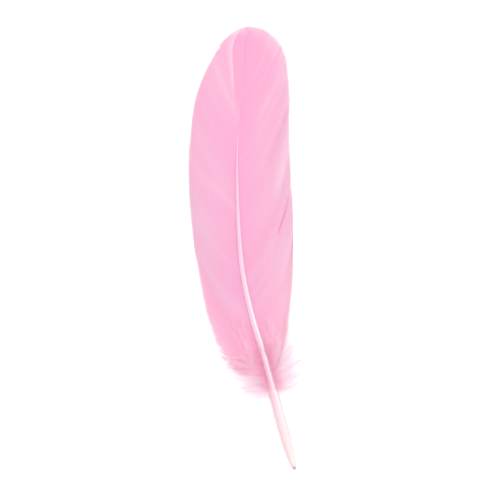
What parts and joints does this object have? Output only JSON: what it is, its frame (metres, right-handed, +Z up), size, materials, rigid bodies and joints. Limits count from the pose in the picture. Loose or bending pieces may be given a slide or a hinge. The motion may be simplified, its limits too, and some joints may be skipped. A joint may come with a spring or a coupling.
{
  "type": "goose feather",
  "caption": "Dyed pink goose feather with a bare quill, two satin vanes and a tuft of down at the vane's base; lies on a surface.",
  "frame": {"origin": "on the surface that the feather lies on, under the middle of its outline", "axes": "+Y from the quill's end to the vane's tip, +X to the right seen from above, +Z up, out of the feather's upper side"},
  "size_m": [0.0459, 0.1801, 0.0071],
  "materials": {
    "vane": "satin, with fine barb lines",
    "quill": "smooth translucent keratin",
    "down": "soft fluff"
  },
  "bodies": {
    "root": {"feather": "vane"}
  },
  "joints": []
}
